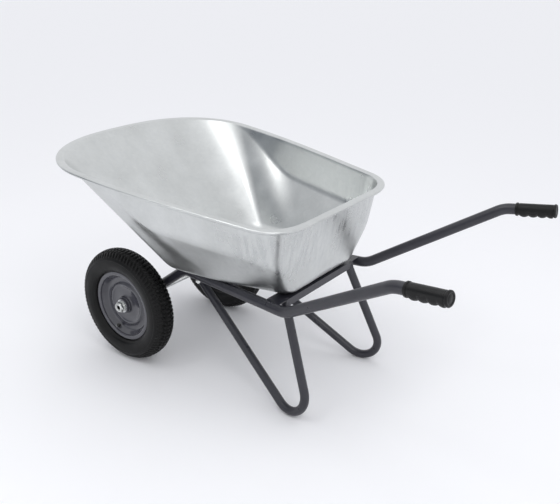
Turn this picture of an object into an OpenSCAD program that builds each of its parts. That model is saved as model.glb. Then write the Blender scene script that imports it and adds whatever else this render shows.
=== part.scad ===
// Two-wheeled wheelbarrow: galvanised pan on a bent-tube frame.
// Lengths in millimetres, +X points forward, +Y to the left, +Z up.
// The design is laid out from the axle; place() then moves it so that the
// origin lies on the ground under the middle of the whole barrow.

/* [Wheels] */
// Outer diameter of the tyre
wheel_d = 360; // [330:1:420]
// Distance between the middle planes of the two wheels
wheel_track = 446; // [430:1:560]
// Width of the tyre
tyre_w = 80; // [66:1:100]
// Outer diameter of the rim flanges
rim_d = 224; // [190:1:230]
// Width over the rim flanges
rim_w = 50; // [40:1:60]
// Sheet thickness of the rim halves
rim_sheet = 1.8; // [1.2:0.1:2.5]
// Outer diameter of the hub tube
hub_d = 48; // [46:0.5:56]
// Length of the hub tube
hub_len = 50; // [44:1:60]
// Angle of the valve round the wheel, from straight ahead upwards
valve_angle = -66; // [-180:1:180]

/* [Axle] */
// Diameter of the axle rod
axle_d = 20; // [16:0.5:22]
// Outer diameter of the sleeve welded to each rail end
sleeve_d = 30; // [28:0.5:36]
// Length of each sleeve along the axle
sleeve_len = 40; // [30:1:44]
// Clearance on the radius between the axle and what sits on it
axle_fit = 0.05; // [0.02:0.01:0.1]
// End play between a hub and the spacer or washer beside it
hub_play = 0.4; // [0.3:0.1:1]
// Height of the axle nuts
axle_nut_h = 12; // [10:0.5:20]

/* [Side rails] */
// Outer diameter of the rail tube
rail_d = 30; // [27:0.5:34]
// Wall of the rail tube
rail_wall = 2; // [1.5:0.1:3]
// Height of the middle of the level stretch
rail_z = 320; // [300:1:340]
// Half distance between the rails at the axle
rail_y_front = 152; // [140:1:160]
// Where the rails bend to level, behind the axle
rail_bend_x = -190; // [-230:1:-170]
// Where the rails turn up to the handles, behind the axle
rail_rise_x = -599; // [-640:1:-560]
// Half distance between the rails where they turn up
rail_y_rise = 208; // [190:1:225]
// Where the handles level out, behind the axle
handle_x = -962; // [-1010:1:-900]
// Half distance between the handles where they level out
handle_y = 313; // [290:1:330]
// Height of the handles where they level out
handle_z = 537; // [480:1:600]
// Length of each handle end, from its bend to its tip
handle_len = 136; // [125:1:170]
// Outward turn of the handle ends
handle_turn = 6.7; // [0:0.1:12]
// Upward tilt of the handle ends
handle_tilt = 6.2; // [0:0.1:15]
// Radius of the rail bends, to the middle of the tube
rail_bend_r = 80; // [60:1:100]

/* [Legs] */
// Outer diameter of the leg tube
leg_d = 25; // [22:0.5:28]
// Wall of the leg tube
leg_wall = 2; // [1.5:0.1:3]
// Radius of the foot bend, to the middle of the tube
foot_r = 58; // [45:1:70]
// Where the two straight tubes of a leg would meet, behind the axle
foot_x = -718; // [-740:1:-690]
// Half distance between those meeting points
foot_y = 221; // [200:1:235]
// Half distance between the rear tubes under the cross angle
leg_y_rear = 157; // [140:1:165]
// Half distance between the front tubes at the cross tube
leg_y_front = 93; // [70:1:120]

/* [Cross members] */
// Where the rear face of the cross angle stands, behind the axle
angle_x = -575; // [-590:1:-560]
// Height of the upright flange of the cross angle
angle_h = 21; // [16:1:35]
// Width of the level flange under the pan
angle_w = 48; // [45:1:60]
// Thickness of both flanges
angle_t = 3; // [2.5:0.1:5]
// Where the front cross tube lies, behind the axle
cross_x = -162; // [-166:1:-140]
// Outer diameter of the front cross tube
cross_d = 25; // [20:0.5:28]
// Gap left for the weld where two frame tubes meet
weld_gap = 0.3; // [0.2:0.1:0.8]

/* [Pan] */
// Sheet thickness of the pan
sheet = 1.2; // [1:0.1:2]
// Height of the rim straight above the axle
rim_z = 636; // [590:1:680]
// Rise of the rim towards the front, as a slope
rim_slope = 0.115; // [0.08:0.005:0.15]
// Rear edge of the pan, behind the axle
pan_rear = -645; // [-670:1:-635]
// Front edge of the pan, ahead of the axle
pan_front = 242; // [200:1:290]
// Half width of the pan at its widest, above the axle
pan_half_w = 375; // [350:1:410]
// Half width of the pan behind its rear corners
pan_half_rear = 303; // [290:1:320]
// Width of the rim lip, roll included
lip_w = 22; // [18:1:26]
// Diameter of the rolled edge
roll_d = 9; // [7:0.5:11]
// Rear edge of the flat floor, before its corner is rounded
floor_rear = -578; // [-590:1:-570]
// Front edge of the flat floor, before its corner is rounded
floor_front = -150; // [-200:1:-140]
// Half width of the floor at its rear corners
floor_half_rear = 160; // [150:1:168]
// Half width of the floor at its front corners
floor_half_front = 208; // [195:1:215]
// Length that the round between floor and wall takes from each
floor_round = 34; // [25:1:42]
// Depth of the side crease below the rim
crease_depth = 106; // [80:1:130]
// Depth of the crease below the rim at the middle of the rear wall
crease_depth_rear = 176; // [150:1:190]
// Slope of the steep upper wall, as inset for each millimetre of depth
wall_draft = 0.2; // [0.12:0.01:0.25]

/* [Fasteners] */
// Thread diameter of the pan bolts
bolt_d = 8; // [6:1:10]
// Where the front bolts pass through the rails, behind the axle
bolt_front_x = -248; // [-270:1:-240]
// Half distance between the rear bolts
bolt_rear_y = 80; // [60:1:82]

/* [Grips] */
// Length of the grips over their end flange
grip_len = 106; // [98:1:120]
// Diameter of the grip body
grip_d = 34; // [33.5:0.5:38]
// Diameter of the grip's end flange
grip_end_d = 37; // [36:0.5:46]

/* [Hidden] */
$fn = 96;

steel_c = "#3b3b42";
zinc_c = "#c3c6c8";
pan_c = "#b9bec0";
rubber_c = "#1d1d1e";

// ---- small helpers -------------------------------------------------------

function unit(v) = v / norm(v);
function mix(a, b, t) = a + (b - a) * t;
function clamp01(t) = max(0, min(1, t));
function reversed(list) = [for (i = [len(list) - 1 : -1 : 0]) list[i]];
function bezier3(a, b, c, t) = mix(mix(a, b, t), mix(b, c, t), t);
function bezier4(a, b, c, d, t) = mix(bezier3(a, b, c, t), bezier3(b, c, d, t), t);

// Moves the design from the axle to the origin on the ground.
module place() { translate([origin_shift, 0, 0]) children(); }

// Draws the left-hand piece, or its mirror image on the right.
module on_side(side) { mirror([0, side < 0 ? 1 : 0, 0]) children(); }

// Turns +Z onto direction w, with its foot at p.
module along(p, w) {
    z = unit(w);
    x = unit(cross([0, 1, 0], z));
    y = cross(z, x);
    multmatrix([[x.x, y.x, z.x, p.x], [x.y, y.y, z.y, p.y], [x.z, y.z, z.z, p.z]]) children();
}

// A cylinder lying across the barrow, its middle at p.
module across(p, d, len) { translate(p) rotate([90, 0, 0]) cylinder(h = len, d = d, center = true); }

// ---- bent tubes ----------------------------------------------------------

function half_angle(a, p, b) = acos(unit(a - p) * unit(b - p)) / 2;

// Stations [point, direction] round the bend at corner p, in n steps.
function bend(a, p, b, r, n) =
    let (u = unit(a - p), h = half_angle(a, p, b), turn = 180 - 2 * h,
         centre = p + unit(u + unit(b - p)) * r / sin(h),
         e = unit(p + u * r / tan(h) - centre))
    [for (k = [0 : n]) let (t = turn * k / n)
        [centre + r * (cos(t) * e - sin(t) * u), -sin(t) * e - cos(t) * u]];

// Stations of a whole tube along its corner points.
function tube_path(pts, r, n) = let (last = len(pts) - 1) concat(
    [[pts[0], unit(pts[1] - pts[0])]],
    [for (i = [1 : last - 1]) each bend(pts[i - 1], pts[i], pts[i + 1], r, n)],
    [[pts[last], unit(pts[last] - pts[last - 1])]]);

// One ring of a tube wall round each station; ref never points along the tube.
function tube_rings(path, r, sides, ref) = [for (s = path)
    let (x = unit(cross(ref, s[1])), y = cross(s[1], x))
    for (k = [0 : sides - 1]) s[0] + r * (cos(360 * k / sides) * x + sin(360 * k / sides) * y)];

// Two triangles for the cell between points i and i + 1 of rows a and b.
function cell(a, b, i, n) = let (j = (i + 1) % n)
    [[a + i, a + j, b + j], [a + i, b + j, b + i]];
function cell_back(a, b, i, n) = let (j = (i + 1) % n)
    [[a + i, b + j, a + j], [a + i, b + i, b + j]];

// A hollow tube with open ends, swept along its stations.
module hollow_tube(path, d, wall, sides, ref) {
    n = sides;
    rows = len(path);
    inner = rows * n;
    points = concat(tube_rings(path, d / 2, n, ref), tube_rings(path, d / 2 - wall, n, ref));
    faces = concat(
        [for (r = [0 : rows - 2]) for (i = [0 : n - 1]) each cell_back(r * n, r * n + n, i, n)],
        [for (r = [0 : rows - 2]) for (i = [0 : n - 1])
            each cell(inner + r * n, inner + r * n + n, i, n)],
        [for (i = [0 : n - 1]) each cell(0, inner, i, n)],
        [for (i = [0 : n - 1]) each cell_back(inner - n, 2 * inner - n, i, n)]);
    polyhedron(points, faces, convexity = 6);
}

// The same tube, solid and thicker by a gap, used to cut the pieces that meet it.
module tube_cutter(path, d, gap, sides, ref) {
    n = sides;
    rows = len(path);
    points = tube_rings(path, d / 2 + gap, n, ref);
    faces = concat(
        [for (r = [0 : rows - 2]) for (i = [0 : n - 1]) each cell_back(r * n, r * n + n, i, n)],
        [[for (i = [0 : n - 1]) i]],
        [[for (i = [n - 1 : -1 : 0]) (rows - 1) * n + i]]);
    polyhedron(points, faces, convexity = 6);
}

// ---- layout --------------------------------------------------------------

axle_z = wheel_d / 2;
handle_dir = [-cos(handle_tilt) * cos(handle_turn), cos(handle_tilt) * sin(handle_turn), sin(handle_tilt)];
handle_bend = [handle_x, handle_y, handle_z];
rail_corner_front = [rail_bend_x, rail_y_front + 2, rail_z];
rail_corner_rear = [rail_rise_x, rail_y_rise, rail_z];
rail_start = [0, rail_y_front, axle_z];
rail_pts = [rail_start, rail_corner_front, rail_corner_rear, handle_bend,
    handle_bend + handle_len * handle_dir];
rail_sides = 24;
rail_path = tube_path(rail_pts, rail_bend_r, 6);
// Half distance between the rails at x, along their level stretch
function rail_y(x) = mix(rail_corner_front, rail_corner_rear,
    (x - rail_bend_x) / (rail_rise_x - rail_bend_x)).y;

cross_z = mix(rail_start, rail_corner_front, cross_x / rail_bend_x).z;
floor_z = rail_z + rail_d / 2;
angle_top = floor_z;

// The upright flange of the angle ends flush with the outer sides of the legs
upright_y = leg_y_rear + leg_d / 2;
// Left half of the level flange: its wings out to the rails start 1 mm ahead of the upright flange's face
flange_half = [for (c = [[0, 0], [1, 0], [1, 1], [angle_w, 1]])
    [angle_x + c.x, c.y == 0 ? upright_y : rail_y(angle_x + c.x)]];

leg_rear = [angle_x + angle_t + leg_d / 2, leg_y_rear, angle_top - angle_t - weld_gap];
leg_front = [cross_x, leg_y_front, cross_z];
leg_sides = 20;
// Lowest height that the middle of the tube reaches in the foot bend
function bend_low(a, p, b, r) =
    let (h = half_angle(a, p, b), u = unit(a - p), w = unit(b - p), n = unit(cross(u, w)))
    (p + unit(u + w) * r / sin(h)).z - r * sqrt(1 - n.z * n.z);
// Height of the point where the two tubes would meet, so that the foot just stands
function foot_z(z, tries) = tries == 0 ? z
    : foot_z(z + leg_d / 2 - bend_low(leg_rear, [foot_x, foot_y, z], leg_front, foot_r), tries - 1);
leg_pts = [leg_rear, [foot_x, foot_y, foot_z(-80, 12)], leg_front];
leg_ref = unit(cross(leg_rear - leg_pts[1], leg_front - leg_pts[1]));
leg_path = tube_path(leg_pts, foot_r, 12);

grip_wall = 3;
finger_off = 8.5;
finger_d = grip_d - 10;
grip_tip = rail_pts[4] + handle_dir * grip_wall;
rear_edge = grip_tip.x - grip_end_d / 2 * sqrt(1 - handle_dir.x * handle_dir.x);
origin_shift = -(pan_front + rear_edge) / 2;

wheel_y = wheel_track / 2;
hub_in = wheel_y - hub_len / 2;
hub_out = wheel_y + hub_len / 2;
sleeve_out = rail_y_front + sleeve_len / 2;
axle_washer_t = 3;
axle_washer_d = 37;
axle_nut_across = 30;
axle_washer_y = hub_out + hub_play;
axle_nut_y = axle_washer_y + axle_washer_t;
axle_end_y = axle_nut_y + axle_nut_h - 1.5;

bolt_hole = bolt_d + 0.6;
bolt_head_d = 2 * bolt_d;
bolt_head_h = 0.5 * bolt_d;
bolt_washer_d = 2 * bolt_d;
bolt_washer_t = 1.6;
bolt_nut_across = 1.625 * bolt_d;
bolt_nut_h = 0.8 * bolt_d;
bolt_rear_x = angle_x + angle_w - 1.1 * bolt_d;
bolt_front = [bolt_front_x, rail_y(bolt_front_x)];
bolt_rear = [bolt_rear_x, bolt_rear_y];
// Each bolt: its place, and the underside that its washer bears on
bolts = [for (s = [1, -1]) each [
    [bolt_front.x, s * bolt_front.y, rail_z - rail_d / 2],
    [bolt_rear.x, s * bolt_rear.y, angle_top - angle_t]]];

// ---- pan -----------------------------------------------------------------

// A half outline from the middle of the rear edge, round the side, to the middle
// of the front edge. It is [rear_x, rear_y, corner_x, side_y, slope, wide_x,
// wide_y, front_x, squareness]: a straight rear edge to rear_y, a corner to
// (corner_x, side_y), a side to the widest place, and a rounded nose.
function outline(o, part, s) =
    let (dx = o[2] - o[0], run = (o[5] - o[2]) / 3)
    part == 0 ? [o[0], o[1] * s]
    : part == 1 ? bezier4([o[0], o[1]], [o[0], mix(o[1], o[3], 0.62)],
        [o[2] - 0.62 * dx, o[3] - 0.62 * dx * o[4]], [o[2], o[3]], s)
    : part == 2 ? bezier4([o[2], o[3]], [o[2] + run, o[3] + run * o[4]],
        [o[5] - run, o[6]], [o[5], o[6]], s)
    : [mix(o[5], o[7], sin(90 * s)), o[6] * pow(max(0, cos(90 * s)), 2 / o[8])];

rim_line = [pan_rear + lip_w, 155, pan_rear + lip_w + 80, pan_half_rear - lip_w, 0.18,
    0, pan_half_w - lip_w, pan_front - lip_w, 2.6];
floor_line = [floor_rear, 112, floor_rear + 38, floor_half_rear, 0.21,
    floor_front - 58, floor_half_front, floor_front, 5];
flat_line = [floor_rear + floor_round, 90, floor_rear + floor_round + 38,
    floor_half_rear - floor_round, 0.21, floor_front - 66, floor_half_front - floor_round,
    floor_front - floor_round, 4];

steps = [3, 8, 7, 13];
stations = concat([for (p = [0 : 3]) for (i = [0 : steps[p] - 1]) [p, i / steps[p]]], [[3, 1]]);

// How much of the full crease is left: all of it on the rear and the side, none in front
function crease_left(part, s) = part < 2 ? 1
    : part == 2 ? 1 - 0.9 * pow(clamp01((s - 0.6) / 0.4), 2) : 0.1 * pow(1 - s, 3);
function crease_drop(part, s) =
    part == 0 ? mix(crease_depth_rear, crease_depth, 0.35 * s * s)
    : part == 1 ? mix(crease_depth_rear, crease_depth, 0.35 + 0.65 * (1 - (1 - s) * (1 - s)))
    : max(12, crease_depth * crease_left(part, s));

rim_top = [for (t = stations) let (p = outline(rim_line, t[0], t[1]))
    [p.x, p.y, rim_z + rim_slope * p.x]];
last_station = len(stations) - 1;
function rim_out(i) =
    let (a = i == 0 ? [rim_top[1].x, -rim_top[1].y] : rim_top[i - 1],
         b = i == last_station ? [rim_top[i - 1].x, -rim_top[i - 1].y] : rim_top[i + 1],
         d = [b.x - a.x, b.y - a.y])
    unit([-d.y, d.x, 0]);

function to3(p, z) = [p.x, p.y, z];
lip_bend = 5;
crease_round = 16;
// Inner face of the pan at station i, from the flat floor up to the curl of the roll
function pan_section(i) =
    let (t = stations[i], top = rim_top[i], out = rim_out(i),
         uphill = out + [0, 0, rim_slope * out.x],
         base = to3(outline(floor_line, t[0], t[1]), floor_z + sheet),
         flat = to3(outline(flat_line, t[0], t[1]), floor_z + sheet),
         drop = crease_drop(t[0], t[1]),
         on_line = top + (base - top) * drop / (top.z - base.z),
         on_wall = top - out * wall_draft * drop - [0, 0, drop],
         crease = mix(on_line, on_wall, crease_left(t[0], t[1])),
         knee = base + unit(crease - base) * floor_round,
         soft = min(crease_round, drop / 3),
         below = crease + unit(base - crease) * soft,
         above = crease + unit(top - crease) * soft,
         throat = top + unit(crease - top) * min(lip_bend, drop / 3),
         lip = top + uphill * lip_bend,
         edge = top + uphill * (lip_w - roll_d / 2),
         hub = edge - [0, 0, roll_d / 2])
    concat(
        [for (k = [0 : 5]) bezier3(flat, base, knee, k / 5)],
        [below, bezier3(below, crease, above, 0.5), above],
        [throat, bezier3(throat, top, lip, 0.5), lip],
        [for (a = [0 : 48 : 240]) hub + roll_d / 2 * (sin(a) * out + cos(a) * [0, 0, 1])]);

half_loop = [for (i = [0 : last_station]) pan_section(i)];
pan_loop = concat(half_loop,
    [for (i = [last_station - 1 : -1 : 1]) [for (p = half_loop[i]) [p.x, -p.y, p.z]]]);
around = len(pan_loop);
pan_rows = len(pan_loop[0]);
function pan_point(r, i) = pan_loop[(i + around) % around][r];
// Direction through the sheet, away from the load
function pan_normal(r, i) = r == 0 ? [0, 0, -1]
    : unit(cross(pan_point(min(r + 1, pan_rows - 1), i) - pan_point(r - 1, i),
        pan_point(r, i + 1) - pan_point(r, i - 1)));

module pan() color(pan_c) place() {
    n = around;
    inner = [for (r = [0 : pan_rows - 1]) for (i = [0 : n - 1]) pan_point(r, i)];
    outer = [for (r = [0 : pan_rows - 1]) for (i = [0 : n - 1])
        pan_point(r, i) + sheet * pan_normal(r, i)];
    shift = pan_rows * n;
    top = (pan_rows - 1) * n;
    faces = concat(
        [for (r = [0 : pan_rows - 2]) for (i = [0 : n - 1]) each cell_back(r * n, r * n + n, i, n)],
        [for (r = [0 : pan_rows - 2]) for (i = [0 : n - 1])
            each cell(shift + r * n, shift + r * n + n, i, n)],
        [for (i = [0 : n - 1]) each cell_back(top, shift + top, i, n)],
        [for (i = [0 : n - 1]) [2 * shift, i, (i + 1) % n]],
        [for (i = [0 : n - 1]) [2 * shift + 1, shift + (i + 1) % n, shift + i]]);
    floor_mid = [for (z = [floor_z + sheet, floor_z]) [(floor_rear + floor_front) / 2, 0, z]];
    difference() {
        polyhedron(concat(inner, outer, floor_mid), faces, convexity = 8);
        for (b = bolts) translate([b.x, b.y, floor_z - 5]) cylinder(h = 15, d = bolt_hole);
    }
}

// ---- frame ---------------------------------------------------------------

module rail(side) color(steel_c) place() on_side(side) difference() {
    hollow_tube(rail_path, rail_d, rail_wall, rail_sides, [0, 1, 0]);
    across(rail_start, sleeve_d + 2 * weld_gap, 2 * sleeve_len);
    translate([bolt_front.x, bolt_front.y, rail_z]) cylinder(h = 2 * rail_d, d = bolt_hole, center = true);
}

module leg(side) color(steel_c) place() on_side(side) difference() {
    hollow_tube(leg_path, leg_d, leg_wall, leg_sides, leg_ref);
    across([leg_front.x, leg_front.y, leg_front.z], cross_d + 2 * weld_gap, 4 * leg_d);
    translate([angle_x + angle_t + weld_gap - leg_d * 2, 0, angle_top - angle_h - weld_gap])
        cube([leg_d * 2, rail_y_rise, 2 * angle_h]);
    translate([angle_x, 0, angle_top - angle_t - weld_gap]) cube([2 * leg_d, rail_y_rise, leg_d]);
}

module rail_cutters() for (s = [1, -1]) on_side(s)
    tube_cutter(rail_path, rail_d, weld_gap, rail_sides, [0, 1, 0]);

module rear_cross_angle() color(steel_c) place() difference() {
    union() {
        translate([0, 0, angle_top - angle_t]) linear_extrude(angle_t)
            polygon(concat(flange_half, [for (i = [len(flange_half) - 1 : -1 : 0])
                [flange_half[i].x, -flange_half[i].y]]));
        translate([angle_x, -upright_y, angle_top - angle_h]) cube([angle_t, 2 * upright_y, angle_h]);
    }
    rail_cutters();
    for (s = [1, -1]) translate([bolt_rear.x, s * bolt_rear.y, angle_top])
        cylinder(h = 6 * angle_t, d = bolt_hole, center = true);
}

module front_cross_tube() color(steel_c) place() difference() {
    across([cross_x, 0, cross_z], cross_d, 2 * rail_y_front);
    across([cross_x, 0, cross_z], cross_d - 2 * leg_wall, 3 * rail_y_front);
    rail_cutters();
}

module axle_sleeve(side) color(steel_c) place() on_side(side) difference() {
    across(rail_start, sleeve_d, sleeve_len);
    across(rail_start, axle_d + 2 * axle_fit, 2 * sleeve_len);
}

// ---- axle ----------------------------------------------------------------

// A ring on the axle from y0 to y1, on both sides.
module axle_rings(y0, y1, d) for (s = [1, -1]) on_side(s) difference() {
    across([0, (y0 + y1) / 2, axle_z], d, y1 - y0);
    across([0, (y0 + y1) / 2, axle_z], axle_d + 2 * axle_fit, 3 * (y1 - y0));
}

module axle() color(zinc_c) place() across([0, 0, axle_z], axle_d, 2 * axle_end_y);
module axle_spacers() color(zinc_c) place() axle_rings(sleeve_out, hub_in - hub_play, axle_d + 6);
module axle_washers() color(zinc_c) place() axle_rings(axle_washer_y, axle_nut_y, axle_washer_d);

module axle_nuts() color(zinc_c) place() for (s = [1, -1]) on_side(s) difference() {
    translate([0, axle_nut_y, axle_z]) rotate([-90, 0, 0]) {
        cylinder(h = 0.75 * axle_nut_h, d = axle_nut_across / cos(30), $fn = 6);
        cylinder(h = axle_nut_h, d = axle_nut_across - 2);
    }
    across([0, axle_nut_y, axle_z], axle_d + 2 * axle_fit, 4 * axle_nut_h);
}

// ---- pan fasteners -------------------------------------------------------

module pan_bolts() color(zinc_c) place() for (b = bolts) {
    end = b.z - bolt_washer_t - bolt_nut_h - 0.4 * bolt_d;
    translate([b.x, b.y, end]) cylinder(h = floor_z + sheet + 0.1 - end, d = bolt_d);
    translate([b.x, b.y, floor_z + sheet + 0.1]) rotate_extrude()
        polygon(concat([[0, 0], [bolt_head_d / 2, 0]],
            [for (a = [10 : 20 : 90]) [bolt_head_d / 2 * cos(a), bolt_head_h * sin(a)]]));
}

module pan_washers() color(zinc_c) place() for (b = bolts) difference() {
    translate([b.x, b.y, b.z - bolt_washer_t]) cylinder(h = bolt_washer_t, d = bolt_washer_d);
    translate([b.x, b.y, b.z - 4]) cylinder(h = 8, d = bolt_d + 2 * axle_fit);
}

module pan_nuts() color(zinc_c) place() for (b = bolts) difference() {
    translate([b.x, b.y, b.z - bolt_washer_t - bolt_nut_h])
        cylinder(h = bolt_nut_h, d = bolt_nut_across / cos(30), $fn = 6);
    translate([b.x, b.y, b.z - 3 * bolt_nut_h]) cylinder(h = 4 * bolt_nut_h, d = bolt_d + 2 * axle_fit);
}

// ---- grips ---------------------------------------------------------------

// A rubber sleeve over the handle end, with a closed end, a flange at each end
// and four finger rolls underneath.
module grip(side) color(rubber_c) place() on_side(side) along(grip_tip - grip_len * handle_dir, handle_dir)
difference() {
    union() {
        rotate_extrude() polygon([[0, 0], [grip_d / 2 + 1, 0], [grip_d / 2 + 1.5, 3],
            [grip_d / 2, 6], [grip_d / 2 - 0.5, grip_len / 2], [grip_d / 2, grip_len - 9],
            [grip_end_d / 2, grip_len - 6], [grip_end_d / 2, grip_len - 1.5],
            [grip_end_d / 2 - 1.5, grip_len], [grip_d / 3, grip_len], [grip_d / 3 - 1, grip_len - 1],
            [0, grip_len - 1]]);
        for (i = [0 : 3]) translate([-finger_off, 0, 24 + i * (grip_len - 44) / 3])
            sphere(d = finger_d);
    }
    translate([0, 0, -1]) cylinder(h = grip_len - grip_wall + 1.1, d = rail_d + 0.1);
}

// ---- wheels --------------------------------------------------------------

// A wheel's own frame: its middle at the origin, +Z outwards from the barrow.
module wheel_frame(side) place() on_side(side)
    translate([0, wheel_y, axle_z]) rotate([-90, 0, 0]) children();

// A strip of thickness t on the left of the line pts, as a closed outline.
function strip_normal(pts, i) =
    let (a = pts[max(0, i - 1)], b = pts[min(len(pts) - 1, i + 1)],
         u = i == 0 ? unit(b - pts[i]) : unit(pts[i] - a),
         w = i == len(pts) - 1 ? unit(pts[i] - a) : unit(b - pts[i]),
         m = unit(u + w))
    [-m.y, m.x] / (m * u);
function strip(pts, t) =
    concat(pts, reversed([for (i = [0 : len(pts) - 1]) pts[i] + t * strip_normal(pts, i)]));

rim_r = rim_d / 2;
seat_r = rim_r - 11;
half_rim = rim_w / 2;
hub_r = hub_d / 2;
// Face of a rim half that looks away from the wheel's middle, from the hub out
collar_r = hub_r + rim_sheet + 0.1;
rim_face = [
    [collar_r, 14], [collar_r, 9], [hub_r + 4.5, 6.2], [44, 4.2], [56, 5.2], [61, 7.6],
    [66, 7.6], [71, 3.4], [75, rim_sheet + 0.1], [85, rim_sheet + 0.1], [89, 4.4],
    [seat_r - 4, half_rim - 9], [seat_r - rim_sheet, half_rim - 6], [seat_r - rim_sheet, half_rim - 2],
    [seat_r + 1, half_rim], [rim_r, half_rim]];
// The inner half has the same face without the collar
back_face = [for (i = [2 : len(rim_face) - 1]) rim_face[i]];
// Place and direction of the valve through the slope of the outer rim half
valve_foot = [seat_r - 3, 8];
valve_dir = unit([-1, 0.8]);
valve_d = 8;
stem_in = 16;
stem_out = 13;
cap_foot = 7;
cap_h = 10;

module at_valve(r, z) rotate([0, 0, -valve_angle]) translate([r, 0, z])
    rotate([0, atan2(valve_dir.x, valve_dir.y), 0]) children();

module rim_half(side, outer) color(steel_c) wheel_frame(side) difference() {
    if (outer) rotate_extrude() polygon(strip(rim_face, -rim_sheet));
    else mirror([0, 0, 1]) rotate_extrude() polygon(strip(back_face, -rim_sheet));
    if (outer) at_valve(valve_foot.x, valve_foot.y)
        translate([0, 0, -valve_d]) cylinder(h = 5 * valve_d, d = valve_d + 3);
}

bearing_r = hub_d / 2 - 3;
bearing_w = 12;
bearing_stop = bearing_r - 2.5;
race_in = axle_d / 2 + 3.6;
race_out = bearing_r - 2.6;
ball_d = race_out - race_in - 0.4;

module hub(side) color(steel_c) wheel_frame(side) rotate_extrude() polygon([
    [hub_r, -hub_len / 2], [hub_r, hub_len / 2], [bearing_r, hub_len / 2],
    [bearing_r, hub_len / 2 - bearing_w], [bearing_stop, hub_len / 2 - bearing_w],
    [bearing_stop, -hub_len / 2 + bearing_w], [bearing_r, -hub_len / 2 + bearing_w],
    [bearing_r, -hub_len / 2]]);

module ring(r0, r1, h) rotate_extrude() translate([r0, -h / 2]) square([r1 - r0, h]);

module bearings(side) color(zinc_c) wheel_frame(side)
    for (z = [1, -1]) translate([0, 0, z * (hub_len - bearing_w) / 2]) {
        ring(axle_d / 2 + axle_fit, race_in, bearing_w - 0.2);
        ring(race_out, bearing_r - 0.02, bearing_w - 0.2);
        for (i = [0 : 9]) rotate([0, 0, 36 * i]) translate([(race_in + race_out) / 2, 0, 0])
            sphere(d = ball_d);
    }

tyre_r = wheel_d / 2;
half_tyre = tyre_w / 2;
tyre_gap = 0.3;
bead_z = half_rim - rim_sheet - tyre_gap;
bead_r = seat_r + tyre_gap;
bead_w = 9;
side_t = 8;
tread_t = 10;
tube_wall = 2.5;
widest_r = mix(rim_r, tyre_r, 0.42);
fullness = 2 / 2.3;
// Half of a blown-up section: from (r, z) beside the rim, bulging out to half width
// wide, then over the shoulder to the middle of the tread at radius top
function carcass(r, z, wide, top) = concat(
    [for (a = [90 : -18 : 18]) [mix(widest_r, r, sin(a)), mix(z, wide, cos(a))]],
    [for (a = [0 : 11.25 : 90])
        [widest_r + (top - widest_r) * pow(sin(a), fullness), wide * pow(max(0, cos(a)), fullness)]]);
function mirror_line(pts) = [for (i = [len(pts) - 2 : -1 : 0]) [pts[i].x, -pts[i].y]];
function loop(pts) = concat(pts, mirror_line(pts));

tyre_out = concat([[bead_r, bead_z - bead_w], [bead_r, bead_z - 2], [bead_r + 4, bead_z]],
    carcass(rim_r + 2, bead_z, half_tyre, tyre_r));
tyre_in = concat([[bead_r + 8, bead_z - bead_w]],
    carcass(rim_r + 1, bead_z - 5, half_tyre - side_t, tyre_r - tread_t));

module tyre(side) color(rubber_c) wheel_frame(side) rotate_extrude()
    polygon(concat(loop(tyre_out), reversed(loop(tyre_in))));

// Section of the inner tube, shrunk by t: it fills the tyre and dips into the rim
function tube_line(t) = concat([[rim_r - 4 + t, 0], [rim_r - 3.5 + t, 6], [rim_r - 1 + t, 12 - t]],
    carcass(rim_r + 1 + t, bead_z - 5 - t, half_tyre - side_t - t, tyre_r - tread_t - t));

module inner_tube(side) color("#2a2a2c") wheel_frame(side) difference() {
    rotate_extrude() difference() {
        polygon(concat(tube_line(tyre_gap), [for (p = mirror_line(tube_line(tyre_gap))) if (p.y < 0) p]));
        polygon(concat(tube_line(tyre_gap + tube_wall),
            [for (p = mirror_line(tube_line(tyre_gap + tube_wall))) if (p.y < 0) p]));
    }
    at_valve(valve_foot.x, valve_foot.y) translate([0, 0, -25]) cylinder(h = 25, d = valve_d);
}

module valve_stem(side) color("#26262a") wheel_frame(side) at_valve(valve_foot.x, valve_foot.y)
difference() {
    translate([0, 0, -stem_in]) cylinder(h = stem_in + stem_out, d = valve_d - 0.2);
    translate([0, 0, -2 * stem_in]) cylinder(h = 2 * (stem_in + stem_out), d = 3);
}

module valve_cap(side) color("#141414") wheel_frame(side) at_valve(valve_foot.x, valve_foot.y)
difference() {
    translate([0, 0, cap_foot]) cylinder(h = cap_h, d = valve_d + 2);
    cylinder(h = stem_out + 1, d = valve_d + 0.1);
}

pan();
rail(1);  // left_rail
rail(-1);  // right_rail
leg(1);  // left_leg
leg(-1);  // right_leg
rear_cross_angle();
front_cross_tube();
axle_sleeve(1);  // left_axle_sleeve
axle_sleeve(-1);  // right_axle_sleeve
axle();
axle_spacers();
axle_washers();
axle_nuts();
grip(1);  // left_grip
grip(-1);  // right_grip
pan_bolts();
pan_washers();
pan_nuts();
tyre(1);  // left_tyre
inner_tube(1);  // left_inner_tube
rim_half(1, true);  // left_rim_outer
rim_half(1, false);  // left_rim_inner
hub(1);  // left_hub
bearings(1);  // left_bearings
valve_stem(1);  // left_valve_stem
valve_cap(1);  // left_valve_cap
tyre(-1);  // right_tyre
inner_tube(-1);  // right_inner_tube
rim_half(-1, true);  // right_rim_outer
rim_half(-1, false);  // right_rim_inner
hub(-1);  // right_hub
bearings(-1);  // right_bearings
valve_stem(-1);  // right_valve_stem
valve_cap(-1);  // right_valve_cap
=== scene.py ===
"""Looks of a wheelbarrow with a galvanised pan, a bent-tube frame and two pneumatic wheels.

Lengths in the classes are millimetres, measured from the middle of the axle on the
ground: +X forward, +Y left, +Z up. to_frame() turns them into the frame's metres.
"""
import logging
import math
from dataclasses import dataclass
from enum import Enum
from typing import Callable, Optional, Union

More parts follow.
